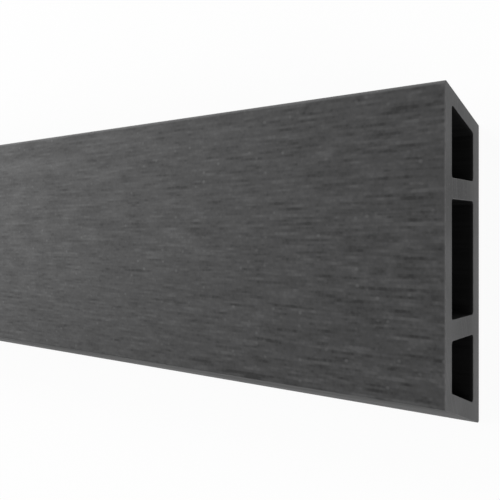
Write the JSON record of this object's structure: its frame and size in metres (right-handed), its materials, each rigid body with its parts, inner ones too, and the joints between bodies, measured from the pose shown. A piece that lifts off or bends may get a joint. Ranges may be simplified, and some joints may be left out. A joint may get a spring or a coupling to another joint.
{
  "type": "hollow composite fence board",
  "caption": "Hollow extruded wood-plastic composite fence board of slanted-edge section, with a brushed front face, webs and open through chambers.",
  "frame": {"origin": "on the floor under the middle of the board, which lies on its rear face", "axes": "+X along the board, +Y across its width towards the edge that is uppermost when the board is fixed on a fence, +Z through its thickness from the rear face to the brushed front face"},
  "size_m": [1.8, 0.1, 0.027],
  "materials": {
    "composite": "matte"
  },
  "bodies": {
    "root": {"board": "composite"}
  },
  "joints": []
}
